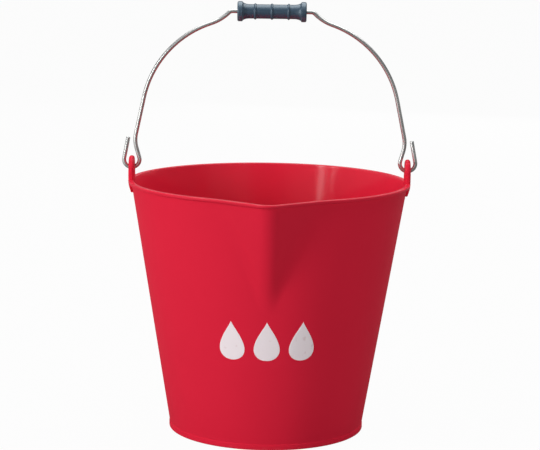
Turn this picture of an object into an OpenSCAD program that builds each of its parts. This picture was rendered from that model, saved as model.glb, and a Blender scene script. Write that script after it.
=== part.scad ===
// Fire bucket: a tapered moulded body with a pouring spout, a bent wire bail and a loose grip.
// Millimetres. The origin is the centre of the foot on the floor, +Z is up,
// -Y points out through the spout and X runs along the hinge of the bail.

/* [Body] */
// Height of the rim above the floor
bucket_h = 250; // [220:1:300]
// Outer radius of the wall at the rim
mouth_r = 137.5; // [128:0.5:150]
// Outer radius that the wall would have at floor level
base_r = 96.5; // [88:0.5:108]
// Thickness of the wall
wall_t = 2.3; // [1.8:0.1:3]
// Thickness of the base plate
base_t = 2.5; // [2:0.1:4]
// Radius of the inside corner between base and wall
corner_r = 8; // [5:0.5:12]
// Height of the foot ring, and so of the recess under the base
foot_h = 5; // [4:0.5:8]
// How far the foot ring stands proud of the wall
foot_proud = 0.5; // [0.3:0.1:1]
// Radial thickness of the foot ring
foot_t = 3.6; // [3.3:0.1:5]
// How far the rim stands out from the wall
rim_out = 3; // [2:0.1:5]
// Height of the rim's band
rim_h = 3; // [2.5:0.1:5]
// Edge rounding of the rim
rim_edge = 0.8; // [0.5:0.1:1]

/* [Spout] */
// How far the spout's tip stands out from the round wall
spout_reach = 26.7; // [20:0.1:32]
// Depth below the rim at which the spout's ridge runs into the wall
spout_drop = 100; // [80:1:120]
// Angle between each side of the spout and the X axis, seen from above
spout_slope = 37.5; // [34:0.5:42]
// Radius of the ridge
spout_ridge_r = 15; // [11:0.5:18]
// Width of the soft blend where the spout leaves the round wall
spout_blend = 4; // [2:0.5:5]

/* [Ears] */
// Height of the bail's hinge above the rim
ear_pivot_h = 11.5; // [10:0.5:15]
// Radius of the ear's round top about the hinge
ear_r = 11.7; // [10.5:0.1:14]
// Thickness of the ear at the hinge
ear_t = 7; // [6:0.1:7.6]
// Thickness of the ear at its edge
ear_edge_t = 5.4; // [4.5:0.1:6]
// How far the middle of the ear lies inside the wall's outer radius
ear_inset = 0.3; // [0:0.1:0.5]
// Height of the gusset under the rim that carries the ear
gusset_h = 12.4; // [10:0.1:16]
// How far the lower end of the gusset stands out from the wall
gusset_out = 1.6; // [0.8:0.1:2.4]
// Depth below the top of the rim at which the ear's outer face turns in to the gusset
gusset_drop = 1.7; // [0:0.1:2.5]

/* [Bail] */
// Diameter of the wire
wire_d = 4; // [3.4:0.1:4.4]
// Height of the grip's axis above the hinge
bail_h = 156; // [140:1:180]
// Radius of the hook that passes through the ear
hook_r = 7.7; // [7.4:0.1:9]
// Turn of the hook from its lowest point up to its inner leg
hook_turn = 106; // [102:1:110]
// Straight length of the hook's inner leg
hook_leg = 10; // [8:0.5:14]
// Turn of the hook from its lowest point up to its free end
tail_turn = 101; // [96:1:104]
// Straight length of the hook's free end
tail_l = 21.2; // [12:0.1:26]
// Bend radius of the neck above the hook
neck_r = 30; // [20:1:40]
// Lean of the straight side from the vertical
side_lean = 12; // [8:0.5:14]
// Slope at which the bow meets the shoulder
bow_slope = 18.8; // [16:0.1:24]
// Bend radius of the shoulder beside the grip
shoulder_r = 46; // [36:1:80]
// Slope of the shoulder at the kink
kink_slope = 44.5; // [30:0.5:52]
// Bend radius of the kink beside the grip
kink_r = 5; // [4:0.5:8]

/* [Grip] */
// Length of the grip
grip_l = 68; // [60:1:76]
// Diameter of the grip's waist
waist_d = 14.1; // [12:0.1:16]
// Diameter of the end flanges
flange_d = 19.8; // [18:0.1:24]
// Width of each end flange
flange_w = 5; // [4:0.1:6]
// Edge rounding of the end flanges
flange_round = 1.6; // [0.8:0.1:2]
// Length of the hollow curve from the waist up to the flange
flare_l = 7.5; // [5:0.5:9]
// Diameter of the finger rings
ring_d = 16.1; // [16.1:0.1:18]
// Rounding of the finger rings
ring_round = 2; // [1.6:0.1:2.4]
// Spacing of the finger rings
ring_pitch = 16.4; // [14:0.1:18]
// Number of finger rings
ring_count = 3; // [1:2:3]

/* [Fits] */
// Gap between the wire and the hole of the ear
ear_gap = 0.3; // [0.2:0.05:0.6]
// Gap between the wire and the bore of the grip
grip_gap = 0.3; // [0.2:0.05:0.5]
// Gap between the end of the grip and the kink of the wire
grip_play = 4.7; // [0.5:0.1:7]

/* [Hidden] */
$fn = 96;

// Wall: a straight taper, so every level has one radius.
function wall_r(z) = base_r + (mouth_r - base_r) * z / bucket_h;
wall_lean = atan((mouth_r - base_r) / bucket_h);
wall_from = foot_h - 1.5;
function hundredth(v) = round(v * 100) / 100;

// Levels of the wall: one in the foot, then even steps through the spout up to the rim.
spout_low = bucket_h - 1.25 * spout_drop;
rim_fillet = 1;
rim_low = bucket_h - rim_h - rim_fillet;
level_count = 11;
levels = [wall_from, for (i = [0:level_count - 1])
    spout_low + (rim_low - spout_low) * i / (level_count - 1)];

// Stations up the wall, each an outer and an inner point: [stand-out, height, stand-out, height].
// A stand-out is counted from the outer face of the wall at that height.
edge_mid = 0.3 * rim_edge;
stations = [
    for (z = levels) [0, z, -wall_t, z],
    [rim_fillet, bucket_h - rim_h, -wall_t, bucket_h - rim_h],
    [rim_out - rim_edge, bucket_h - rim_h, -wall_t, bucket_h - 0.9 * rim_h],
    [rim_out, bucket_h - rim_h + rim_edge, -wall_t, bucket_h - rim_h + rim_edge],
    [rim_out, bucket_h - rim_edge, -wall_t, bucket_h - rim_edge],
    [rim_out - edge_mid, bucket_h - edge_mid, edge_mid - wall_t, bucket_h - edge_mid],
    [rim_out - rim_edge, bucket_h, rim_edge - wall_t, bucket_h]
];
station_count = len(stations);
outer_side = [for (s = stations) [s[0], s[1]]];
inner_side = [for (i = [station_count - 1:-1:0]) [stations[i][2], stations[i][3]]];
wall_loop = concat(outer_side, inner_side);
wall_section = [for (p = wall_loop) [hundredth(wall_r(p[1]) + p[0]), hundredth(p[1])]];

// Plan of the wall at height z for a face that stands out by e: the larger of the round wall
// and a vee with a rounded ridge, with a soft blend between the two.
// The vee moves inwards with depth, so its sides are flat and its ridge is straight.
function ridge_centre(z) =
    wall_r(z) + spout_reach * (1 - (bucket_h - z) / spout_drop) - spout_ridge_r;
function vee_distance(z, e) = ridge_centre(z) * cos(spout_slope) + spout_ridge_r + e;
function ridge_edge(z, e) = atan2((spout_ridge_r + e) * sin(spout_slope),
    ridge_centre(z) + (spout_ridge_r + e) * cos(spout_slope));
function vee_r(z, e, a) =
    a < ridge_edge(z, e)
        ? ridge_centre(z) * cos(a)
            + sqrt(pow(spout_ridge_r + e, 2) - pow(ridge_centre(z) * sin(a), 2))
    : a < spout_slope ? vee_distance(z, e) / cos(a - spout_slope)
    : vee_distance(z, e) * (2 - 1 / cos(a - spout_slope));
function soft_max(a, b) =
    max(a, b) + pow(max(spout_blend - abs(a - b), 0), 2) / (4 * spout_blend);
function plan_r(z, e, a) = soft_max(wall_r(z) + e, vee_r(z, e, a));

// The front half of the wall is a loft: columns lie closer together towards the spout.
half_columns = 30;
column_spread = 1.4;
columns = [for (i = [-half_columns:half_columns])
    sign(i) * 90 * pow(abs(i) / half_columns, column_spread)];
function on_half_plane(i) = i == 0 || i == 2 * half_columns;
function column_point(i, p) = let (
        a = columns[i],
        r = on_half_plane(i) ? hundredth(wall_r(p[1]) + p[0]) : plan_r(p[1], p[0], abs(a))
    ) [r * sin(a), on_half_plane(i) ? 0 : -r * cos(a), hundredth(p[1])];
loop_count = len(wall_loop);

module wall_front() {
    skin = [for (i = [0:2 * half_columns - 1], j = [0:loop_count - 1])
        let (k = (j + 1) % loop_count, a = i * loop_count, b = a + loop_count)
            each [[a + j, b + j, b + k], [a + j, b + k, a + k]]];
    // Each end is closed by a ladder of triangles from the outer to the inner side.
    ends = [for (c = [0, 2 * half_columns * loop_count], j = [0:station_count - 2])
        let (a = c + j, b = c + loop_count - 1 - j,
            up = [[a, a + 1, b - 1], [a, b - 1, b]])
            each (c > 0 ? up : [for (t = up) [t[2], t[1], t[0]]])];
    polyhedron(points = [for (i = [0:2 * half_columns], p = wall_loop) column_point(i, p)],
        faces = concat(skin, ends), convexity = 6);
}

module wall_back() {
    rotate_extrude(angle = 180) polygon(wall_section);
}

// Foot ring, base plate and the inside corner that carries the wall on the plate.
foot_outer = wall_r(foot_h) + foot_proud;
foot_edge = 0.6;
plate_top = foot_h + base_t;
corner_sink = 0.15;
corner_z = plate_top + corner_r;
corner_x = wall_r(corner_z) - wall_t + corner_sink - corner_r / cos(wall_lean);
corner_steps = 8;

module foot_ring() {
    rotate_extrude() polygon([
        [foot_outer - foot_t + foot_edge, 0],
        [foot_outer - foot_edge, 0],
        [foot_outer, foot_edge],
        [foot_outer, foot_h],
        [wall_r(foot_h) - wall_t / 3, foot_h + 2 * foot_proud],
        [foot_outer - foot_t, foot_h + base_t / 2],
        [foot_outer - foot_t, foot_edge]
    ]);
}

module base_plate() {
    translate([0, 0, foot_h]) cylinder(r = wall_r(foot_h) - wall_t / 2, h = base_t);
}

module inside_corner() {
    rotate_extrude() polygon([
        [corner_x, plate_top - base_t / 2],
        for (i = [0:corner_steps]) let (a = -90 + (90 - wall_lean) * i / corner_steps)
            [corner_x + corner_r * cos(a), corner_z + corner_r * sin(a)],
        [wall_r(corner_z) - wall_t / 2, corner_z],
        [wall_r(plate_top) - wall_t / 2, plate_top - base_t / 2]
    ]);
}

// Ear: a flat tongue with a round, softly edged top about the hinge, on a gusset under the rim.
pivot_z = bucket_h + ear_pivot_h;
ear_x = mouth_r - ear_inset;
wire_r = wire_d / 2;
ear_hole_r = hook_r - sqrt(pow(hook_r - wire_r, 2) - pow(ear_t / 2, 2)) + ear_gap;
ear_round = 0.45 * ear_edge_t;
ear_round_steps = 5;
ear_half_section = [for (i = [0:ear_round_steps]) let (a = 90 * i / ear_round_steps)
    [ear_r - ear_round + ear_round * sin(a), ear_edge_t / 2 - ear_round + ear_round * cos(a)]];
ear_side = concat([[0, ear_t / 2]], ear_half_section);
ear_edge = concat(ear_side, [for (i = [len(ear_side) - 1:-1:0]) [ear_side[i][0], -ear_side[i][1]]]);
gusset_foot = wall_r(bucket_h - gusset_h);
gusset_top = bucket_h - gusset_drop;

module ear() {
    difference() {
        union() {
            translate([ear_x, 0, pivot_z]) rotate([0, 90, 0]) rotate_extrude() polygon(ear_edge);
            intersection() {
                translate([ear_x, 0, bucket_h - 2 * gusset_h])
                    linear_extrude(height = ear_pivot_h + 2 * gusset_h)
                        union() {
                            rotate([0, 0, 90]) polygon(ear_edge);
                            rotate([0, 0, 90]) mirror([1, 0]) polygon(ear_edge);
                        }
                rotate([90, 0, 0])
                    linear_extrude(height = 3 * ear_r, center = true)
                        polygon([
                            [ear_x - ear_t, pivot_z],
                            [ear_x + ear_t, pivot_z],
                            [ear_x + ear_t, gusset_top + ear_t / 2],
                            [ear_x + ear_t / 2, gusset_top],
                            [gusset_foot + gusset_out, bucket_h - gusset_h],
                            [gusset_foot - wall_t / 2, bucket_h - gusset_h],
                            [ear_x - ear_t, bucket_h - gusset_h + ear_t / 2]
                        ]);
            }
        }
        translate([ear_x, 0, pivot_z]) rotate([0, 90, 0])
            cylinder(r = ear_hole_r, h = 2 * ear_t, center = true);
    }
}

module bucket() {
    color("crimson") {
        wall_back();
        wall_front();
        foot_ring();
        base_plate();
        inside_corner();
        ear();
        mirror([1, 0, 0]) ear();
    }
}

// Bail: one round wire, bent in the X-Z plane and followed from its free end, round the hook
// and up to the grip. A heading is counted from +X towards +Z. The straight side and the bow
// take the lengths that bring the wire to the height and half length of the grip's seat.
grip_z = pivot_z + bail_h;
seat_half = grip_l / 2 + grip_play;
function unit(h) = [cos(h), sin(h)];
function bend(h, turn) = unit(h + sign(turn) * 90) - unit(h + turn + sign(turn) * 90);
hook_low = [ear_x, pivot_z];
tail_h = 180 + tail_turn;
inner_h = 180 - hook_turn;
side_h = 90 + side_lean;
bow_h = 180 - bow_slope;
kink_h = 180 - kink_slope;
hook_start = hook_low + hook_r * bend(0, tail_turn);
tail_end = hook_start - tail_l * unit(tail_h);
hook_end = hook_low + hook_r * bend(180, -hook_turn);
neck_start = hook_end + hook_leg * unit(inner_h);
side_start = neck_start + neck_r * bend(inner_h, side_h - inner_h);
kink_start = [seat_half, grip_z] - kink_r * bend(kink_h, kink_slope);
bow_end = kink_start - shoulder_r * bend(bow_h, kink_h - bow_h);
span = bow_end - side_start;
side_way = unit(side_h);
bow_way = bend(side_h, bow_h - side_h);
function cross_2d(u, v) = u[0] * v[1] - u[1] * v[0];
side_l = cross_2d(span, bow_way) / cross_2d(side_way, bow_way);
bow_r = cross_2d(side_way, span) / cross_2d(side_way, bow_way);
bow_start = side_start + side_l * side_way;

// Stops along half of the wire, each a place and a heading; a bend has one every few degrees.
tight_step = 12;
wide_step = 6;
function bend_stops(p, h, r, turn, step) = let (n = ceil(abs(turn) / step))
    [for (i = [0:n]) [p + r * (i == 0 ? [0, 0] : bend(h, turn * i / n)), h + turn * i / n]];
half_stops = concat(
    [[tail_end, tail_h]],
    bend_stops(hook_start, tail_h, hook_r, inner_h - tail_h, tight_step),
    bend_stops(neck_start, inner_h, neck_r, side_h - inner_h, wide_step),
    bend_stops(bow_start, side_h, bow_r, bow_h - side_h, wide_step),
    [for (i = [1:3]) [bow_end + shoulder_r * bend(bow_h, (kink_h - bow_h) * i / 3),
        bow_h + (kink_h - bow_h) * i / 3]],
    [for (i = [1:4]) [kink_start + kink_r * bend(kink_h, kink_slope * i / 4),
        kink_h + kink_slope * i / 4]]);
wire_sides = 16;
function wire_ring(stop, flip) = [for (i = [0:wire_sides - 1])
    let (a = 360 * i / wire_sides, c = stop[0] + wire_r * cos(a) * unit(stop[1] + 90))
        [flip * c[0], wire_r * sin(a), c[1]]];
stop_count = len(half_stops);
wire_points = concat(
    [for (s = half_stops) each wire_ring(s, 1)],
    [for (i = [stop_count - 1:-1:0]) each wire_ring(half_stops[i], -1)]);

module bail() {
    rings = 2 * stop_count;
    skin = [for (i = [0:rings - 2], j = [0:wire_sides - 1])
        let (k = (j + 1) % wire_sides, a = i * wire_sides, b = a + wire_sides)
            each [[a + j, a + k, b + k], [a + j, b + k, b + j]]];
    last = (rings - 1) * wire_sides;
    ends = [[for (j = [wire_sides - 1:-1:0]) j], [for (j = [0:wire_sides - 1]) last + j]];
    color("silver")
        polyhedron(points = wire_points, faces = concat(skin, ends), convexity = 8);
}

// Grip: a waisted sleeve with three finger rings, a hollow flare and a flange at each end.
flare_steps = 6;
round_steps = 4;
flare_start = grip_l / 2 - flange_w - flare_l;
grip_half_profile = [
    for (i = [0:flare_steps]) let (a = 90 * i / flare_steps)
        [waist_d / 2 + (flange_d - waist_d) / 2 * (1 - cos(a)), flare_start + flare_l * sin(a)],
    for (i = [0:round_steps]) let (a = 90 * i / round_steps)
        [flange_d / 2 - flange_round * (1 - cos(a)),
            grip_l / 2 - flange_round * (1 - sin(a))],
    [0, grip_l / 2]
];
half_points = len(grip_half_profile);
grip_profile = concat(
    grip_half_profile,
    [for (i = [half_points - 1:-1:0]) [grip_half_profile[i][0], -grip_half_profile[i][1]]]);

module grip() {
    color("slategray")
        translate([0, 0, grip_z]) rotate([0, 90, 0]) difference() {
            union() {
                rotate_extrude() polygon(grip_profile);
                for (i = [0:ring_count - 1])
                    translate([0, 0, (i - (ring_count - 1) / 2) * ring_pitch])
                        rotate_extrude()
                            translate([ring_d / 2 - ring_round, 0]) circle(r = ring_round);
            }
            cylinder(r = wire_r + grip_gap, h = grip_l + 2, center = true);
        }
}

bucket();
bail();
grip();
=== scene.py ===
import math

import bmesh
import bpy
import numpy as np
from mathutils import Matrix, Vector


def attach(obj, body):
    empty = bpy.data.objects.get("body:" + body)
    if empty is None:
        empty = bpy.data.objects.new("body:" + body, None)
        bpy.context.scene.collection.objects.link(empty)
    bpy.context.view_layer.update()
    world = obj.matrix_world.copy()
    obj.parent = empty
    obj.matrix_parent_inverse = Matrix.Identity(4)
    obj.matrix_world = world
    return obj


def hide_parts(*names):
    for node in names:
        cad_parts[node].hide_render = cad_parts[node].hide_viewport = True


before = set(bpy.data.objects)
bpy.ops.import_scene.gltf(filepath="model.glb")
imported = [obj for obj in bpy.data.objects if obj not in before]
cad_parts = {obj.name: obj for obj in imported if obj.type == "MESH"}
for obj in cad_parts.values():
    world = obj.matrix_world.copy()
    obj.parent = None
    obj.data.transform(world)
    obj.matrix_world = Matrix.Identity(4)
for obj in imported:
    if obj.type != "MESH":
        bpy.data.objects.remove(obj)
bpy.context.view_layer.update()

# Camera: it stands just under two metres away, a little higher than the bail, and looks
# slightly down into the mouth. It is rolled by one degree, as the bucket leans in the picture.
AIM = Vector((0.00129, 0.0, 0.20514))
CAMERA_DISTANCE = 1.8961
CAMERA_PITCH = math.radians(9.27)
CAMERA_ROLL = math.radians(0.90)
PICTURE_WIDTH = 540
FOCAL_PIXELS = 1895.2
SENSOR_WIDTH = 36.0
VIEW_END = 100.0

towards_aim = Vector((0.0, math.cos(CAMERA_PITCH), -math.sin(CAMERA_PITCH)))
level_right = Vector((1.0, 0.0, 0.0))
level_up = level_right.cross(towards_aim)
camera_right = math.cos(CAMERA_ROLL) * level_right + math.sin(CAMERA_ROLL) * level_up
camera_up = math.cos(CAMERA_ROLL) * level_up - math.sin(CAMERA_ROLL) * level_right
camera_axes = Matrix((camera_right, camera_up, -towards_aim)).transposed()
camera = bpy.data.objects.new("camera", bpy.data.cameras.new("camera"))
camera.matrix_world = Matrix.Translation(AIM - CAMERA_DISTANCE * towards_aim) @ camera_axes.to_4x4()
camera.data.sensor_width = SENSOR_WIDTH
camera.data.lens = FOCAL_PIXELS * SENSOR_WIDTH / PICTURE_WIDTH
camera.data.clip_end = VIEW_END
bpy.context.collection.objects.link(camera)
bpy.context.scene.camera = camera
bpy.context.scene.view_settings.view_transform = "Standard"


# Studio: a wide pale floor in a room that is white on the left, and greyer above, behind and
# on the right. The boxes that light the bucket aren't mirrored in it, but two narrow ones that
# draw the streaks in its gloss and a wide one overhead are.
SURROUND_WHITE = (1.0, 1.0, 1.0, 1.0)
UPPER_GREY = (0.34, 0.35, 0.37, 1.0)
CEILING_GREY = (0.80, 0.83, 0.86, 1.0)
# The room's colour by height: 0 is the horizon and 1 is straight up.
SKY_STOPS = (
    (0.12, SURROUND_WHITE),
    (0.35, UPPER_GREY),
    (0.60, UPPER_GREY),
    (0.80, CEILING_GREY),
)
MIRRORED = 0.90
AMBIENT = 0.12
# A pair that ends in FADE holds the two values between which a part of the pattern comes in.
DARK_AZIMUTH = math.radians(50)
DARK_LEVEL = 0.32
DARK_FADE = (0.25, 0.45)
DARK_NARROWING = 0.35
BACK_LEVEL = 0.40
BACK_FADE = (0.2, 0.7)
FLOOR_SIZE = 60.0
FLOOR_WHITE = (0.28, 0.28, 0.28, 1.0)
FLOOR_GLOW = 0.97
# How bright the floor looks in gloss: in front, behind, and at the front left.
FLOOR_FRONT = 0.10
FLOOR_BACK = 0.30
FLOOR_LEFT = 1.0
FLOOR_BACK_FADE = (-0.5, 1.0)
FLOOR_LEFT_FADE = (-0.2, -0.6)
FLOOR_NEAR_FADE = (0.1, -0.3)
KEY_AZIMUTH = math.radians(-59)
KEY_SIZE = (0.6, 1.3)
KEY_WATTS = 31.0
# Azimuth, width and power of each streak's lamp.
STRIPS = ((math.radians(-48.5), 0.22, 8.0), (math.radians(-61), 0.16, 4.4))
STRIP_LENGTH = 1.3
LAMP_DISTANCE = 2.2
LAMP_HEIGHT = 0.75
TOP_PLACE = (0.1, 0.4, 1.9)
TOP_SIZE = (2.4, 2.0)
TOP_WATTS = 39.0
# Place and power of each box that fills in the shadows.
FILLS = (((2.0, -2.5, 0.6), 45.0), ((0.9, 2.8, 0.9), 50.0))
FILL_SIZE = (2.4, 1.6)
LAMP_TARGET = Vector((0.0, 0.0, 0.2))


class Value:
    """A number that varies over a surface. Sums and products with it add Math nodes."""

    def __init__(self, nodes, socket):
        self.nodes = nodes
        self.socket = socket

    def math(self, operation, first, second):
        return self.nodes.add("ShaderNodeMath", {"operation": operation}, {0: first, 1: second})

    def __add__(self, other):
        return self.math("ADD", self, other)

    def __radd__(self, other):
        return self.math("ADD", other, self)

    def __sub__(self, other):
        return self.math("SUBTRACT", self, other)

    def __rsub__(self, other):
        return self.math("SUBTRACT", other, self)

    def __mul__(self, other):
        return self.math("MULTIPLY", self, other)

    def __rmul__(self, other):
        return self.math("MULTIPLY", other, self)

    def __truediv__(self, other):
        return self.math("DIVIDE", self, other)

    def at_most(self, other):
        return self.math("MINIMUM", self, other)

    def at_least(self, other):
        return self.math("MAXIMUM", self, other)

    def power(self, other):
        return self.math("POWER", self, other)

    def swing(self, width):
        """A noise between 0 and 1, made into one of this width about 0."""
        return (self - 0.5) * width


class Nodes:
    """The nodes of one material or of the world."""

    # The sockets of a Mix node that hold its two colours and its result.
    MIX_FIRST = 6
    MIX_SECOND = 7
    MIX_RESULT = 2

    def __init__(self, owner):
        owner.use_nodes = True
        self.tree = owner.node_tree
        self.tree.nodes.clear()

    def add(self, kind, settings=None, inputs=None, output=0):
        """Adds a node: its settings first, then its sockets' numbers or links."""
        node = self.tree.nodes.new(kind)
        for name, setting in (settings or {}).items():
            if name == "stops":
                ramp = node.color_ramp.elements
                while len(ramp) < len(setting):
                    ramp.new(0.5)
                for element, (place, colour) in zip(ramp, setting):
                    element.position = place
                    element.color = colour
            else:
                setattr(node, name, setting)
        for name, given in (inputs or {}).items():
            if isinstance(given, Value):
                self.tree.links.new(given.socket, node.inputs[name])
            else:
                node.inputs[name].default_value = given
        return Value(self, node.outputs[output]) if node.outputs else None

    def blend(self, share, first, second):
        """A colour that goes from the first to the second as share goes from 0 to 1."""
        return self.add(
            "ShaderNodeMix",
            {"data_type": "RGBA"},
            {0: share, self.MIX_FIRST: first, self.MIX_SECOND: second},
            output=self.MIX_RESULT,
        )

    def rays(self, *kinds):
        """1 for rays of these kinds, such as the camera's own, and 0 for the others."""
        shares = [self.add("ShaderNodeLightPath", output="Is %s Ray" % kind) for kind in kinds]
        return sum(shares[1:], shares[0]).at_most(1.0)

    def ramp(self, value, start, end):
        """Rises evenly from 0 where value is start to 1 where it is end."""
        return ((value - start) / (end - start)).at_least(0.0).at_most(1.0)

    def noise(self, place, per_metre, detail=2.0):
        """Soft random patches, so many to the metre, with finer ones for each level of detail."""
        return self.add(
            "ShaderNodeTexNoise", inputs={"Vector": place, "Scale": per_metre, "Detail": detail}
        )

    def stretch(self, place, scales):
        """The place with each of its axes scaled, which draws a pattern out along the others."""
        return self.add("ShaderNodeMapping", inputs={"Vector": place, "Scale": scales})


world = bpy.data.worlds.new("surround")
bpy.context.scene.world = world
sky = Nodes(world)
direction = sky.add("ShaderNodeTexCoord", output="Generated")
sky_x, sky_y, sky_z = [
    sky.add("ShaderNodeSeparateXYZ", inputs={0: direction}, output=axis) for axis in "XYZ"
]
sky_colour = sky.add("ShaderNodeValToRGB", {"stops": SKY_STOPS}, {0: sky_z})
# The dark corner is widest at the horizon and narrows upwards.
towards_dark = sky_x * math.sin(DARK_AZIMUTH) - sky_y * math.cos(DARK_AZIMUTH)
dark_corner = sky.ramp(towards_dark - sky_z.at_least(0.0) * DARK_NARROWING, *DARK_FADE)
back_wall = sky.ramp(sky_y, *BACK_FADE)
studio = (1.0 - dark_corner * (1.0 - DARK_LEVEL)) * (1.0 - back_wall * (1.0 - BACK_LEVEL))
sky_camera = sky.rays("Camera")
sky_mirror = sky.rays("Glossy", "Transmission")
sky_strength = sky_camera + (1.0 - sky_camera) * studio * (
    sky_mirror * MIRRORED + (1.0 - sky_mirror) * AMBIENT
)
sky_light = sky.add("ShaderNodeBackground", inputs={0: sky_colour, 1: sky_strength})
sky.add("ShaderNodeOutputWorld", inputs={0: sky_light})

floor_mesh = bpy.data.meshes.new("floor")
half_floor = FLOOR_SIZE / 2
floor_mesh.from_pydata(
    [(x, y, 0.0) for x, y in ((-1, -1), (1, -1), (1, 1), (-1, 1))], [], [(0, 1, 2, 3)]
)
floor_mesh.transform(Matrix.Scale(half_floor, 4))
floor = bpy.data.objects.new("floor", floor_mesh)
bpy.context.collection.objects.link(floor)
floor_finish = bpy.data.materials.new("floor_white")
floor_nodes = Nodes(floor_finish)
floor_place = floor_nodes.add("ShaderNodeTexCoord", output="Object")
floor_x, floor_y = [
    floor_nodes.add("ShaderNodeSeparateXYZ", inputs={0: floor_place}, output=axis) for axis in "XY"
]
floor_camera = floor_nodes.rays("Camera", "Transmission")
back_share = floor_nodes.ramp(floor_y, *FLOOR_BACK_FADE)
left_share = floor_nodes.ramp(floor_x, *FLOOR_LEFT_FADE) * floor_nodes.ramp(floor_y, *FLOOR_NEAR_FADE)
floor_level = FLOOR_FRONT + (FLOOR_BACK - FLOOR_FRONT) * back_share
floor_level = floor_level.at_least(FLOOR_LEFT * left_share)
floor_paper = floor_nodes.add("ShaderNodeBsdfDiffuse", inputs={0: FLOOR_WHITE})
floor_glow = floor_nodes.add(
    "ShaderNodeEmission",
    inputs={0: SURROUND_WHITE, 1: floor_camera + (1.0 - floor_camera) * floor_level},
)
floor_shown = floor_nodes.add(
    "ShaderNodeMixShader",
    inputs={
        0: floor_nodes.rays("Camera", "Glossy", "Transmission") * FLOOR_GLOW,
        1: floor_paper,
        2: floor_glow,
    },
)
floor_nodes.add("ShaderNodeOutputMaterial", inputs={0: floor_shown})
floor_mesh.materials.append(floor_finish)


def soft_box(name, place, size, watts, mirrored=True):
    """A rectangular lamp at place that faces the bucket, size wide and high."""
    lamp = bpy.data.lights.new(name, "AREA")
    lamp.shape = "RECTANGLE"
    lamp.size, lamp.size_y = size
    lamp.energy = watts
    lamp_object = bpy.data.objects.new(name, lamp)
    lamp_object.location = place
    facing = (LAMP_TARGET - Vector(place)).to_track_quat("-Z", "Y")
    lamp_object.rotation_euler = facing.to_euler()
    lamp_object.visible_glossy = mirrored
    bpy.context.collection.objects.link(lamp_object)


def beside(azimuth):
    """A place beside the bucket, turned by azimuth from the side of the spout."""
    return LAMP_DISTANCE * math.sin(azimuth), -LAMP_DISTANCE * math.cos(azimuth), LAMP_HEIGHT


soft_box("key_box", beside(KEY_AZIMUTH), KEY_SIZE, KEY_WATTS, mirrored=False)
for strip_azimuth, strip_width, strip_watts in STRIPS:
    soft_box("strip_box", beside(strip_azimuth), (strip_width, STRIP_LENGTH), strip_watts)
soft_box("top_box", TOP_PLACE, TOP_SIZE, TOP_WATTS)
for fill_place, fill_watts in FILLS:
    soft_box("fill_box", fill_place, FILL_SIZE, fill_watts, mirrored=False)


# Bucket: one injection moulding in red polypropylene. A thin tapered wall grows out of the
# base plate and its foot ring, ends in a small rim band, and is drawn out at the front into a
# pouring spout with two flat sides and a rounded ridge. All lengths below are millimetres.
MM = 0.001
RIM_Z = 250.0
MOUTH_R = 137.5
BASE_R = 96.5
WALL = 2.3
PLATE = 2.5
CORNER_R = 8.0
FOOT_Z = 5.0
FOOT_PROUD = 0.5
FOOT_T = 3.6
FOOT_INNER_ROUND = 0.7
FOOT_OUTER_ROUND = 0.8
RECESS_ROUND = 1.0
STEP_LEAN = 1.4
STEP_FOOT_ROUND = 0.5
STEP_TOP_ROUND = 0.4
RIM_OUT = 3.0
RIM_H = 3.0
RIM_ROUND = 0.8
RIM_FILLET = 1.0
SPOUT_REACH = 26.7
SPOUT_DROP = 100.0
SPOUT_SLOPE = math.radians(37.5)
SPOUT_BLEND = 4.0
SPOUT_LOW = RIM_Z - 125.0
RIDGE_R = 15.0
GATE_R = 4.5
GATE_DEPTH = 0.5
GATE_ROUND = 0.2
# How finely the surface is divided: columns round it, of which a share is drawn towards the
# spout, steps up the wall and across the plate, and steps round each bend of the section.
BUCKET_COLUMNS = 400
COLUMNS_DRAWN = 0.5
WALL_STEPS = 56
PLATE_STEPS = 20
ARC_STEPS = 6
MERGE_DISTANCE = 1e-7


def wall_radius(z):
    """Outer radius of the plain wall: a straight line from the base radius to the mouth's."""
    return BASE_R + (MOUTH_R - BASE_R) * z / RIM_Z


def plan_radius(z, out, turn):
    """Radius at height z, for a face that stands out from the wall, turn radians off the spout.

    It is the larger of the round wall and a vee with a rounded ridge, with a soft blend where
    they meet. The vee is the ridge's circle, then a straight side, and moves in with depth.
    """
    plain = wall_radius(z) + out
    centre = wall_radius(z) + SPOUT_REACH * (1 - (RIM_Z - z) / SPOUT_DROP) - RIDGE_R
    ridge = RIDGE_R + out
    side_distance = centre * np.cos(SPOUT_SLOPE) + ridge
    ridge_end = np.arctan2(ridge * np.sin(SPOUT_SLOPE), centre + ridge * np.cos(SPOUT_SLOPE))
    reach = np.clip(ridge**2 - (centre * np.sin(turn)) ** 2, 0, None)
    tip = centre * np.cos(turn) + np.sqrt(reach)
    lean = np.cos(np.minimum(turn, np.pi / 2) - SPOUT_SLOPE)
    side = np.where(turn < SPOUT_SLOPE, side_distance / lean, side_distance * (2 - 1 / lean))
    vee = np.where(turn < ridge_end, tip, side)
    overlap = np.clip(SPOUT_BLEND - np.abs(plain - vee), 0, None)
    drawn = np.maximum(plain, vee) + overlap**2 / (4 * SPOUT_BLEND)
    return np.where((z > SPOUT_LOW) & (turn < np.pi / 2), drawn, plain)


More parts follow.
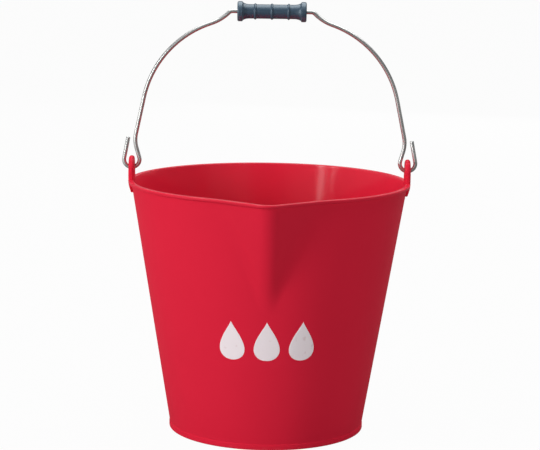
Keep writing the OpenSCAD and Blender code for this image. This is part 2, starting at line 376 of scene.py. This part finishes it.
def rounded_line(corners):
    """A polyline through corners (x, y, rounding, steps): each bend becomes an arc, and the
    straight run that follows a corner is divided into its steps."""
    points = np.array([c[:2] for c in corners])
    runs = []
    leave = points[0]
    for i in range(1, len(corners)):
        steps = corners[i - 1][3]
        if i == len(corners) - 1:
            runs.append(np.linspace(leave, points[i], steps + 1))
            break
        back = points[i - 1] - points[i]
        ahead = points[i + 1] - points[i]
        back /= np.linalg.norm(back)
        ahead /= np.linalg.norm(ahead)
        half_angle = np.arccos(np.clip(back @ ahead, -1, 1)) / 2
        rounding = corners[i][2]
        arrive = points[i] + back * rounding / np.tan(half_angle)
        runs.append(np.linspace(leave, arrive, steps + 1)[:-1])
        middle = (back + ahead) / np.linalg.norm(back + ahead)
        centre = points[i] + middle * rounding / np.sin(half_angle)
        swing = (np.pi / 2 - half_angle) * np.linspace(-1, 1, ARC_STEPS + 1)[:, None]
        across = back - ahead
        across /= np.linalg.norm(across)
        arc = centre + rounding * (-middle * np.cos(swing) - across * np.sin(swing))
        runs.append(arc[:-1])
        leave = arc[-1]
    return np.concatenate(runs)


def surface(name, points, across_closed, along_closed=False, measures=None):
    """A mesh object from a grid of points, with quads between neighbours.

    A closed direction joins its last row to its first, points that fall together become one,
    and the faces are turned so that the solid they enclose has a positive volume. measures
    holds the two lengths in metres that lay out the UV map.
    """
    rows, columns = points.shape[:2]
    i, j = np.meshgrid(
        np.arange(rows - (not along_closed)), np.arange(columns - (not across_closed)),
        indexing="ij",
    )
    corner_rows = np.stack([i, i, i + 1, i + 1], -1)
    corner_columns = np.stack([j, j + 1, j + 1, j], -1)
    faces = (corner_rows % rows) * columns + corner_columns % columns
    quads = faces.reshape(-1, 4)
    flat = points.reshape(-1, 3)
    corners = flat[quads]
    volume = sum(
        np.einsum("ij,ij->i", corners[:, 0], np.cross(corners[:, k], corners[:, k + 1])).sum()
        for k in (1, 2)
    )
    order = [0, 1, 2, 3] if volume > 0 else [3, 2, 1, 0]
    mesh = bpy.data.meshes.new(name)
    mesh.from_pydata(flat * MM, [], quads[:, order].tolist())
    if measures is not None:
        layer = mesh.uv_layers.new(name="lengths")
        lengths = np.stack(
            [measures[0][corner_columns], measures[1][corner_rows]], -1
        ).reshape(-1, 4, 2)[:, order]
        layer.data.foreach_set("uv", lengths.ravel())
    finish_mesh = bmesh.new()
    finish_mesh.from_mesh(mesh)
    bmesh.ops.remove_doubles(finish_mesh, verts=finish_mesh.verts, dist=MERGE_DISTANCE)
    finish_mesh.to_mesh(mesh)
    finish_mesh.free()
    mesh.shade_smooth()
    piece = bpy.data.objects.new(name, mesh)
    bpy.context.collection.objects.link(piece)
    return piece


foot_outer = wall_radius(FOOT_Z) + FOOT_PROUD
plate_top = FOOT_Z + PLATE
# The section runs from the mould's gate mark under the base round the foot, up the outside,
# over the rim and down the inside: radius, height, rounding, steps to the next corner.
bucket_section = rounded_line([
    (0.0, FOOT_Z + GATE_DEPTH, 0, 2),
    (GATE_R, FOOT_Z + GATE_DEPTH, GATE_ROUND, 1),
    (GATE_R + GATE_DEPTH, FOOT_Z, GATE_ROUND, PLATE_STEPS),
    (foot_outer - FOOT_T, FOOT_Z, RECESS_ROUND, 2),
    (foot_outer - FOOT_T, 0.0, FOOT_INNER_ROUND, 2),
    (foot_outer, 0.0, FOOT_OUTER_ROUND, 3),
    (foot_outer, FOOT_Z, STEP_FOOT_ROUND, 1),
    (wall_radius(FOOT_Z + FOOT_PROUD), FOOT_Z + STEP_LEAN * FOOT_PROUD, STEP_TOP_ROUND, WALL_STEPS),
    (wall_radius(RIM_Z - RIM_H), RIM_Z - RIM_H, RIM_FILLET, 1),
    (wall_radius(RIM_Z - RIM_H) + RIM_OUT, RIM_Z - RIM_H, RIM_ROUND, 1),
    (MOUTH_R + RIM_OUT, RIM_Z, RIM_ROUND, 3),
    (MOUTH_R - WALL, RIM_Z, RIM_ROUND, WALL_STEPS),
    (wall_radius(plate_top) - WALL, plate_top, CORNER_R, PLATE_STEPS),
    (0.0, plate_top, 0, 1),
])
section_z = bucket_section[:, 1]
stand_out = bucket_section[:, 0] - wall_radius(section_z)
even = np.linspace(-1, 1, BUCKET_COLUMNS + 1)[:-1]
turns = np.pi * ((1 - COLUMNS_DRAWN) * even + COLUMNS_DRAWN * even**3)
bucket_radii = plan_radius(section_z[:, None], stand_out[:, None], np.abs(turns)[None, :])
bucket_grid = np.stack(
    [
        bucket_radii * np.sin(turns),
        -bucket_radii * np.cos(turns),
        np.broadcast_to(section_z[:, None], bucket_radii.shape),
    ],
    -1,
)
bucket = surface("bucket_moulding", bucket_grid, across_closed=True)

# Materials are in metres. A noise has its patches to the metre and its levels of detail.
RED = (0.70, 0.0170, 0.045, 1.0)
RED_DEEP = (0.655, 0.0155, 0.041, 1.0)
RED_SCUFFED = (0.66, 0.045, 0.065, 1.0)
RED_ROUGHNESS = 0.52
RED_GLOSS = 0.055
CORE_POLISH = 0.30
CORE_ROUGHNESS = 0.14
CORE_FADE = (0.02, -0.04)
LIP_POLISH = 0.35
LIP_FADE = (0.0022, 0.0014)
ABOVE_LIP_FADE = (-0.0003, -0.0001)
CLOUDS = (14.0, 3.0)
CLOUD_ROUGHNESS = 0.08
PEEL = (620.0, 2.0)
DRAG_SCALES = (340.0, 340.0, 7.0)
DRAG_ROUGHNESS = 0.10
DRAG_DEPTH = 0.5
SCUFFS = (160.0, 5.0)
SCUFF_FADE = (0.50, 0.643)
SCUFF_ROUGHNESS = 0.2
SCUFF_DEPTH = 0.8
FOOT_SCUFFED = 0.7
FOOT_SCUFF_HEIGHT = 0.0035
RIM_SCUFFED = 0.16
RIM_SCUFF_DEPTH = 0.0010
RED_BUMP = 0.06
RED_BUMP_HEIGHT = 0.0004

red_plastic = bpy.data.materials.new("red_polypropylene")
red = Nodes(red_plastic)
red_place = red.add("ShaderNodeTexCoord", output="Object")
red_height = red.add("ShaderNodeSeparateXYZ", inputs={0: red_place}, output="Z")
below_rim = RIM_Z * MM - red_height
# The mould's core is polished and its outer half is not, so the inside has a clear gloss.
red_face = red.add("ShaderNodeNewGeometry", output="Normal")
red_radial = red.add(
    "ShaderNodeVectorMath", {"operation": "MULTIPLY"}, {0: red_place, 1: (1.0, 1.0, 0.0)}
)
outwards = red.add(
    "ShaderNodeVectorMath",
    {"operation": "DOT_PRODUCT"},
    {0: red_face, 1: red_radial},
    output="Value",
)
inside = red.ramp(outwards, *CORE_FADE)
# The lip is as smooth, where the two halves of the mould close. The ears above it aren't.
lip = red.ramp(below_rim, *LIP_FADE) * red.ramp(below_rim, *ABOVE_LIP_FADE)
clouds = red.noise(red_place, *CLOUDS)
# Orange peel of the mould, a millimetre or so across.
peel = red.noise(red_place, *PEEL)
# Drag marks from pulling the moulding off its core: long up the wall, narrow across it.
drag = red.noise(red.stretch(red_place, DRAG_SCALES), 1.0)
# Scuffs where the foot slides on the floor and where other buckets nest on the rim.
foot_edge = red.ramp(red_height, FOOT_SCUFF_HEIGHT, 0.0)
rim_edge = red.ramp(below_rim, RIM_SCUFF_DEPTH, 0.0)
scuffs = red.ramp(red.noise(red_place, *SCUFFS), *SCUFF_FADE) * (
    foot_edge * FOOT_SCUFFED + rim_edge * RIM_SCUFFED
).at_most(1.0)
red_bump = red.add(
    "ShaderNodeBump",
    inputs={
        "Strength": RED_BUMP,
        "Distance": RED_BUMP_HEIGHT,
        "Height": peel + drag * DRAG_DEPTH + scuffs * SCUFF_DEPTH,
    },
)
red_shader = red.add(
    "ShaderNodeBsdfPrincipled",
    inputs={
        "Base Color": red.blend(scuffs, red.blend(clouds, RED_DEEP, RED), RED_SCUFFED),
        "Roughness": (
            RED_ROUGHNESS
            + clouds.swing(CLOUD_ROUGHNESS)
            + drag.swing(DRAG_ROUGHNESS)
            + scuffs * SCUFF_ROUGHNESS
        ),
        "Specular IOR Level": RED_GLOSS,
        "Coat Weight": (inside * CORE_POLISH + lip * LIP_POLISH).at_most(1.0),
        "Coat Roughness": CORE_ROUGHNESS,
        "Normal": red_bump,
    },
)
red.add("ShaderNodeOutputMaterial", inputs={0: red_shader})
bucket.data.materials.append(red_plastic)
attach(bucket, "bucket")
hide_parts("bucket")


# Ears: two flat tongues of the same moulding, one on each side of the mouth. Each has a soft
# round top about its hole and runs down the wall in a short gusset that ends under the rim.
EAR_PIVOT_H = 11.5
EAR_INSET = 0.3
EAR_R = 11.7
EAR_T = 7.0
EAR_EDGE_T = 5.4
EAR_ROUND = 2.43
EAR_HOLE_R = 3.5
EAR_HOLE_ROUND = 0.5
GUSSET_H = 12.4
GUSSET_OUT = 1.6
GUSSET_DROP = 1.7
GUSSET_INNER_LEAN = 1.3
GUSSET_SOFTNESS = 0.8
EAR_THINNEST = 0.02
# How finely an ear is divided: round its hole, from the hole to the edge, where the power
# draws the steps outwards, and round the edge of the hole.
EAR_COLUMNS = 144
EAR_STEPS = 25
EAR_STEPS_DRAWN = 1.3
HOLE_STEPS = 4
NEARLY_ZERO = 1e-6

pivot_z = RIM_Z + EAR_PIVOT_H
ear_x_middle = MOUTH_R - EAR_INSET
gusset_end_z = RIM_Z - GUSSET_H
gusset_end_r = wall_radius(gusset_end_z)


def ear_half_thickness(y, z):
    """Half the tongue's thickness: it thins evenly from the middle line to the edge and ends in
    a round edge. The middle line runs down from the hole's centre, at (0, 0)."""
    off = np.hypot(y, np.maximum(z, 0.0))
    edge_start = EAR_R - EAR_ROUND
    thinning = (EAR_T - EAR_EDGE_T) / 2 * np.minimum(off / edge_start, 1.0)
    round_drop = EAR_ROUND - np.sqrt(
        np.clip(EAR_ROUND**2 - np.clip(off - edge_start, 0, EAR_ROUND) ** 2, 0, None)
    )
    return EAR_T / 2 - thinning - round_drop


def soft_min(a, b, width):
    """The smaller of two values, with their crease rounded over the width."""
    overlap = np.clip(width - np.abs(a - b), 0, None)
    return np.minimum(a, b) - overlap**2 / (4 * width)


def ear_faces(y, z):
    """Inner and outer X of the ear: the tongue's faces, cut by the two slopes of the gusset."""
    half = ear_half_thickness(y, z)
    above_end = z + pivot_z - gusset_end_z
    outer_run = ear_x_middle + EAR_T / 2 - gusset_end_r - GUSSET_OUT
    outer_slope = gusset_end_r + GUSSET_OUT + above_end * outer_run / (GUSSET_H - GUSSET_DROP)
    inner_slope = gusset_end_r - WALL / 2 - above_end * GUSSET_INNER_LEAN
    outer = soft_min(ear_x_middle + half, outer_slope, GUSSET_SOFTNESS)
    inner = -soft_min(half - ear_x_middle, -inner_slope, GUSSET_SOFTNESS)
    return np.minimum(inner, outer - EAR_THINNEST), outer


ear_turn = np.linspace(0, 2 * np.pi, EAR_COLUMNS, endpoint=False)
side_reach = EAR_R / np.maximum(np.abs(np.sin(ear_turn)), NEARLY_ZERO)
end_reach = (pivot_z - gusset_end_z) / np.maximum(-np.cos(ear_turn), NEARLY_ZERO)
below = np.cos(ear_turn) < 0
ear_reach = np.where(below, np.minimum(side_reach, end_reach), EAR_R)
share = np.sin(np.linspace(0, np.pi / 2, EAR_STEPS + 1)) ** EAR_STEPS_DRAWN
hole_rim = EAR_HOLE_R + EAR_HOLE_ROUND
face_reach = hole_rim + share[:, None] * (ear_reach - hole_rim)
face_y = face_reach * np.sin(ear_turn)
face_z = face_reach * np.cos(ear_turn)
face_inner, face_outer = ear_faces(face_y, face_z)
bevel = np.linspace(0, np.pi / 2, HOLE_STEPS + 1)[1:, None]
bevel_reach = hole_rim - EAR_HOLE_ROUND * np.sin(bevel)
bevel_drop = EAR_HOLE_ROUND * (1 - np.cos(bevel))
bevel_y = bevel_reach * np.sin(ear_turn)
bevel_z = bevel_reach * np.cos(ear_turn)
ear_y = np.concatenate([face_y, face_y[::-1], bevel_y, bevel_y[::-1]])
ear_z = np.concatenate([face_z, face_z[::-1], bevel_z, bevel_z[::-1]]) + pivot_z
ear_x = np.concatenate([
    face_inner, face_outer[::-1], face_outer[0] - bevel_drop, face_inner[0] + bevel_drop[::-1]
])
for name, side in (("ear_right", 1), ("ear_left", -1)):
    ear = surface(
        name, np.stack([side * ear_x, ear_y, ear_z], -1), across_closed=True, along_closed=True
    )
    ear.data.materials.append(red_plastic)
    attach(ear, "bucket")


# Print: three plain drops in off-white ink, screen printed on the front of the wall below the
# spout, where such a bucket carries its marking. The ink is a film a tenth of a millimetre thick.
DROP_WIDTH = 25.0
DROP_HEIGHT = 39.0
DROP_PITCH = 34.0
DROP_DRAWN = 1.5
DROP_COLUMNS = 120
PRINT_Z = 111.5
INK = 0.10
INK_SINK = -0.05
INK_WHITE = (0.88, 0.79, 0.82, 1.0)
INK_WORN = (0.70, 0.52, 0.55, 1.0)
INK_ROUGHNESS = 0.46
INK_GLOSS = 0.35
INK_GRAIN = (900.0, 2.0)
GRAIN_ROUGHNESS = 0.12
INK_PATCHES = (120.0, 6.0)
INK_WEAR_START = 0.62
INK_WEAR_GAIN = 6.0
INK_WEAR_MOST = 0.5
INK_BUMP = 0.15
INK_BUMP_HEIGHT = 0.0002

drop_turn = np.linspace(0, 2 * np.pi, DROP_COLUMNS, endpoint=False)
# A drop's outline: a circle's width times a power of the half angle, which draws out the tip.
drop_across = np.sin(drop_turn) * np.sin(drop_turn / 2) ** DROP_DRAWN
drop_across *= DROP_WIDTH / 2 / drop_across.max()
drop_up = DROP_HEIGHT / 2 * np.cos(drop_turn)
# The film from its middle over its edge and back beneath: share of the outline, height.
film_section = np.array([
    (0.0, INK), (0.2, INK), (0.4, INK), (0.6, INK), (0.8, INK), (0.95, INK), (0.995, INK),
    (1.0, INK / 2), (1.0, INK_SINK), (0.5, INK_SINK), (0.0, INK_SINK),
])
drop_share, drop_film = film_section.T[:, :, None]
ink_white = bpy.data.materials.new("white_ink")
ink = Nodes(ink_white)
ink_place = ink.add("ShaderNodeTexCoord", output="Object")
ink_grain = ink.noise(ink_place, *INK_GRAIN)
ink_thin = (ink.noise(ink_place, *INK_PATCHES) - INK_WEAR_START) * INK_WEAR_GAIN
ink_thin = ink_thin.at_least(0.0).at_most(INK_WEAR_MOST)
ink_bump = ink.add(
    "ShaderNodeBump",
    inputs={"Strength": INK_BUMP, "Distance": INK_BUMP_HEIGHT, "Height": ink_grain - ink_thin},
)
ink_shader = ink.add(
    "ShaderNodeBsdfPrincipled",
    inputs={
        "Base Color": ink.blend(ink_thin, INK_WHITE, INK_WORN),
        "Roughness": INK_ROUGHNESS + ink_grain.swing(GRAIN_ROUGHNESS),
        "Specular IOR Level": INK_GLOSS,
        "Normal": ink_bump,
    },
)
ink.add("ShaderNodeOutputMaterial", inputs={0: ink_shader})
for name, steps_right in (("print_left", -1), ("print_middle", 0), ("print_right", 1)):
    drop_z = PRINT_Z + drop_share * drop_up
    drop_arc = (steps_right * DROP_PITCH + drop_share * drop_across) / wall_radius(PRINT_Z)
    drop_radius = wall_radius(drop_z) + drop_film
    drop_grid = np.stack(
        [drop_radius * np.sin(drop_arc), -drop_radius * np.cos(drop_arc), drop_z], -1
    )
    drop = surface(name, drop_grid, across_closed=True)
    drop.data.materials.append(ink_white)
    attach(drop, "bucket")


# Bail: one length of bright drawn steel wire, bent flat. Each end is an open hook that comes
# through the ear from inside, and a kink on each side of the middle keeps the grip in place.
WIRE_R = 2.0
WIRE_SIDES = 28
BAIL_H = 156.0
GRIP_HALF = 34.0
GRIP_PLAY = 4.7
HOOK_R = 7.7
HOOK_TURN = 106.0
HOOK_LEG = 10.0
TAIL_TURN = 101.0
TAIL_L = 21.2
NECK_R = 30.0
SIDE_LEAN = 12.0
BOW_SLOPE = 18.8
SHOULDER_R = 46.0
KINK_SLOPE = 44.5
KINK_R = 5.0
CUT_ROUND = 0.35
CUT_CORNER = 0.3
# Degrees of bend from one ring of points to the next.
HOOK_STEP = 5
NECK_STEP = 3
BOW_STEP = 1.5
KINK_STEP = 4

grip_z = pivot_z + BAIL_H


def unit(heading):
    """The unit vector of a heading, counted in degrees from +X towards +Z."""
    angle = np.radians(heading)
    return np.stack([np.cos(angle), np.sin(angle)], -1)


def bend(heading, turn):
    """Where a bend of unit radius leads: from its start to its end, turning by turn degrees."""
    side = np.sign(turn) * 90
    return unit(heading + side) - unit(heading + turn + side)


tail_heading = 180 + TAIL_TURN
leg_heading = 180 - HOOK_TURN
side_heading = 90 + SIDE_LEAN
bow_heading = 180 - BOW_SLOPE
kink_heading = 180 - KINK_SLOPE
hook_low = np.array([ear_x_middle, pivot_z])
hook_start = hook_low + HOOK_R * bend(0, TAIL_TURN)
hook_end = hook_low + HOOK_R * bend(180, -HOOK_TURN)
neck_start = hook_end + HOOK_LEG * unit(leg_heading)
side_start = neck_start + NECK_R * bend(leg_heading, side_heading - leg_heading)
kink_end = np.array([GRIP_HALF + GRIP_PLAY, grip_z])
kink_start = kink_end - KINK_R * bend(kink_heading, KINK_SLOPE)
bow_end = kink_start - SHOULDER_R * bend(bow_heading, kink_heading - bow_heading)
# The straight side and the bow's radius are what closes the gap between the two ends.
side_length, bow_r = np.linalg.solve(
    np.stack([unit(side_heading), bend(side_heading, bow_heading - side_heading)], -1),
    bow_end - side_start,
)
bow_start = side_start + side_length * unit(side_heading)


def wire_run(start, heading, radius, turn, step):
    """Points and headings along one bend, a few degrees apart, without its first point."""
    count = math.ceil(abs(turn) / step)
    turned = turn * np.arange(1, count + 1) / count
    return start + radius * bend(heading, turned), heading + turned


def sheared_end(end, heading):
    """The first stops of the wire: the middle of its cut face, and the rounded edge of the cut."""
    corner = CUT_CORNER * CUT_ROUND
    along = np.array([0.0, 0.0, corner, CUT_ROUND])
    thickness = np.array([0.0, WIRE_R - CUT_ROUND, WIRE_R - corner, WIRE_R])
    headings = np.full(len(along), float(heading))
    return end + along[:, None] * unit(heading), headings, thickness


tail_places, tail_headings, tail_thickness = sheared_end(
    hook_start - TAIL_L * unit(tail_heading), tail_heading
)
runs = [
    (hook_start[None, :], np.array([tail_heading])),
    wire_run(hook_start, tail_heading, HOOK_R, leg_heading - tail_heading, HOOK_STEP),
    (neck_start[None, :], np.array([leg_heading])),
    wire_run(neck_start, leg_heading, NECK_R, side_heading - leg_heading, NECK_STEP),
    (bow_start[None, :], np.array([side_heading])),
    wire_run(bow_start, side_heading, bow_r, bow_heading - side_heading, BOW_STEP),
    wire_run(bow_end, bow_heading, SHOULDER_R, kink_heading - bow_heading, BOW_STEP),
    wire_run(kink_start, kink_heading, KINK_R, KINK_SLOPE, KINK_STEP),
]
half_places = np.concatenate([tail_places] + [run[0] for run in runs])
half_headings = np.concatenate([tail_headings] + [run[1] for run in runs])
half_thickness = np.full(len(half_places), WIRE_R)
half_thickness[:len(tail_thickness)] = tail_thickness
wire_places = np.concatenate([half_places, half_places[::-1] * (-1, 1)])
wire_headings = np.concatenate([half_headings, 360 - half_headings[::-1]])
wire_thickness = np.concatenate([half_thickness, half_thickness[::-1]])
wire_turn = np.linspace(0, 2 * np.pi, WIRE_SIDES + 1)
in_plane = unit(wire_headings + 90)[:, None, :]
wire_flat = wire_places[:, None, :] + (
    wire_thickness[:, None, None] * np.cos(wire_turn[:-1])[None, :, None] * in_plane
)
wire_grid = np.stack(
    [
        wire_flat[..., 0],
        wire_thickness[:, None] * np.sin(wire_turn[:-1]),
        wire_flat[..., 1],
    ],
    -1,
)
wire_along = np.concatenate(
    [[0.0], np.cumsum(np.linalg.norm(np.diff(wire_places, axis=0), axis=1))]
)
bail = surface(
    "bail_wire", wire_grid, across_closed=True,
    measures=(wire_turn * WIRE_R * MM, wire_along * MM),
)

STEEL = (0.62, 0.625, 0.61, 1.0)
STEEL_DULL = (0.47, 0.47, 0.46, 1.0)
STEEL_EDGE = (0.55, 0.57, 0.57, 1.0)
STEEL_METALLIC = 0.85
STEEL_ROUGHNESS = 0.27
LINE_SCALES = (4200.0, 25.0, 1.0)
LINE_DETAIL = 3.0
LINE_ROUGHNESS = 0.10
LINE_SHADE = 0.2
TARNISH = (30.0, 3.0)
TARNISH_FADE = (0.5, 0.8333)
TARNISH_ROUGHNESS = 0.06
TARNISH_SHADE = 0.4
STEEL_BUMP = 0.02
STEEL_BUMP_HEIGHT = 0.0001

bright_steel = bpy.data.materials.new("bright_drawn_steel")
steel = Nodes(bright_steel)
# Drawing lines run along the wire, so the pattern is narrow round it and long along it.
steel_lengths = steel.add("ShaderNodeTexCoord", output="UV")
lines = steel.noise(steel.stretch(steel_lengths, LINE_SCALES), 1.0, LINE_DETAIL)
steel_place = steel.add("ShaderNodeTexCoord", output="Object")
dull = steel.ramp(steel.noise(steel_place, *TARNISH), *TARNISH_FADE)
steel_bump = steel.add(
    "ShaderNodeBump",
    inputs={"Strength": STEEL_BUMP, "Distance": STEEL_BUMP_HEIGHT, "Height": lines},
)
steel_shade = dull * TARNISH_SHADE + (1.0 - lines) * LINE_SHADE
steel_shader = steel.add(
    "ShaderNodeBsdfPrincipled",
    inputs={
        "Base Color": steel.blend(steel_shade, STEEL, STEEL_DULL),
        "Metallic": STEEL_METALLIC,
        "Specular Tint": STEEL_EDGE,
        "Roughness": STEEL_ROUGHNESS + dull * TARNISH_ROUGHNESS + lines.swing(LINE_ROUGHNESS),
        "Normal": steel_bump,
    },
)
steel.add("ShaderNodeOutputMaterial", inputs={0: steel_shader})
bail.data.materials.append(bright_steel)
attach(bail, "bail")
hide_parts("bail")


# Grip: a slate blue plastic sleeve, threaded on the wire before its ends are bent and free to
# turn on it. It is waisted, with three finger rings, and flares into a flange at each end.
WAIST_R = 7.05
FLANGE_R = 9.9
FLANGE_W = 5.0
FLANGE_ROUND = 1.6
FLARE_L = 7.5
RING_R = 8.05
RING_HALF = 1.5
RING_PITCH = 16.4
RINGS_EACH_SIDE = 1
RING_SOFTNESS = 1.5
BORE_GAP = 0.3
BORE_CHAMFER = 0.5
GRIP_COLUMNS = 96
GRIP_LEVELS = 260
FLANGE_LEVELS = 8


def grip_radius(x):
    """The sleeve's radius along its length: the waist, a hollow flare whose slope grows towards
    the flange as a quarter circle's does, and three rings with a rounded crest and soft feet."""
    off = np.abs(x)
    flare_start = GRIP_HALF - FLANGE_W - FLARE_L
    climb = np.clip((off - flare_start) / FLARE_L, 0, 1)
    body = WAIST_R + (FLANGE_R - WAIST_R) * (1 - np.sqrt(np.clip(1 - climb**2, 0, 1)))
    nearest = off - RING_PITCH * np.clip(np.round(off / RING_PITCH), 0, RINGS_EACH_SIDE)
    crest = np.cos(np.clip(nearest / RING_HALF, -1, 1) * np.pi / 2) ** RING_SOFTNESS
    return np.maximum(body, WAIST_R + (RING_R - WAIST_R) * crest)


bore_r = WIRE_R + BORE_GAP
bore_end = GRIP_HALF - BORE_CHAMFER
flange_turn = np.linspace(np.pi / 2, 0, FLANGE_LEVELS)
end_radii = FLANGE_R - FLANGE_ROUND + FLANGE_ROUND * np.sin(flange_turn)
end_places = GRIP_HALF - FLANGE_ROUND + FLANGE_ROUND * np.cos(flange_turn)
level_places = np.linspace(-(GRIP_HALF - FLANGE_ROUND), GRIP_HALF - FLANGE_ROUND, GRIP_LEVELS)
grip_x = np.concatenate([
    -end_places[::-1], level_places[1:-1], end_places,
    [GRIP_HALF, bore_end, -bore_end, -GRIP_HALF],
])
grip_r = np.concatenate([
    end_radii[::-1], grip_radius(level_places[1:-1]), end_radii,
    [bore_r + BORE_CHAMFER, bore_r, bore_r, bore_r + BORE_CHAMFER],
])
grip_turn = np.linspace(0, 2 * np.pi, GRIP_COLUMNS, endpoint=False)
grip_grid = np.stack(
    [
        np.broadcast_to(grip_x[:, None], (len(grip_x), GRIP_COLUMNS)),
        grip_r[:, None] * np.cos(grip_turn),
        grip_r[:, None] * np.sin(grip_turn) + grip_z,
    ],
    -1,
)
grip = surface("grip_sleeve", grip_grid, across_closed=True, along_closed=True)

SLATE = (0.034, 0.062, 0.096, 1.0)
SLATE_DEEP = (0.026, 0.048, 0.075, 1.0)
SLATE_RUBBED = (0.105, 0.145, 0.180, 1.0)
SLATE_ROUGHNESS = 0.34
SLATE_GLOSS = 0.95
SLATE_SHEEN = (0.80, 0.93, 1.0, 1.0)
SLATE_CLOUDS = (90.0, 4.0)
SLATE_GRAIN = (1500.0, 2.0)
SLATE_GRAIN_ROUGHNESS = 0.10
RUBBED_FADE = (0.0077, 0.0099)
RUBBED_PATCH_FADE = (0.35, 0.75)
RUBBED_SHADE = 0.5
RUBBED_POLISH = 0.06
SLATE_BUMP = 0.20
SLATE_BUMP_HEIGHT = 0.0002
SLATE_CLOUD_HEIGHT = 0.5

slate_plastic = bpy.data.materials.new("slate_plastic")
slate = Nodes(slate_plastic)
slate_place = slate.add("ShaderNodeTexCoord", output="Object")
slate_clouds = slate.noise(slate_place, *SLATE_CLOUDS)
slate_grain = slate.noise(slate_place, *SLATE_GRAIN)
slate_y, slate_z = [
    slate.add("ShaderNodeSeparateXYZ", inputs={0: slate_place}, output=axis) for axis in "YZ"
]
# Distance from the grip's own axis.
slate_up = slate_z - grip_z * MM
slate_off = (slate_y * slate_y + slate_up * slate_up).power(0.5)
# Hands and the shelf polish what stands proud: the flanges' edges and the rings' crests.
rubbed = slate.ramp(slate_off, *RUBBED_FADE) * slate.ramp(slate_clouds, *RUBBED_PATCH_FADE)
slate_bump = slate.add(
    "ShaderNodeBump",
    inputs={
        "Strength": SLATE_BUMP,
        "Distance": SLATE_BUMP_HEIGHT,
        "Height": slate_grain + slate_clouds * SLATE_CLOUD_HEIGHT,
    },
)
slate_body = slate.blend(slate_clouds, SLATE_DEEP, SLATE)
slate_shader = slate.add(
    "ShaderNodeBsdfPrincipled",
    inputs={
        "Base Color": slate.blend(rubbed * RUBBED_SHADE, slate_body, SLATE_RUBBED),
        "Roughness": (
            SLATE_ROUGHNESS
            + slate_grain.swing(SLATE_GRAIN_ROUGHNESS)
            - rubbed * RUBBED_POLISH
        ),
        "Specular IOR Level": SLATE_GLOSS,
        "Specular Tint": SLATE_SHEEN,
        "Normal": slate_bump,
    },
)
slate.add("ShaderNodeOutputMaterial", inputs={0: slate_shader})
grip.data.materials.append(slate_plastic)
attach(grip, "grip")
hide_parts("grip")
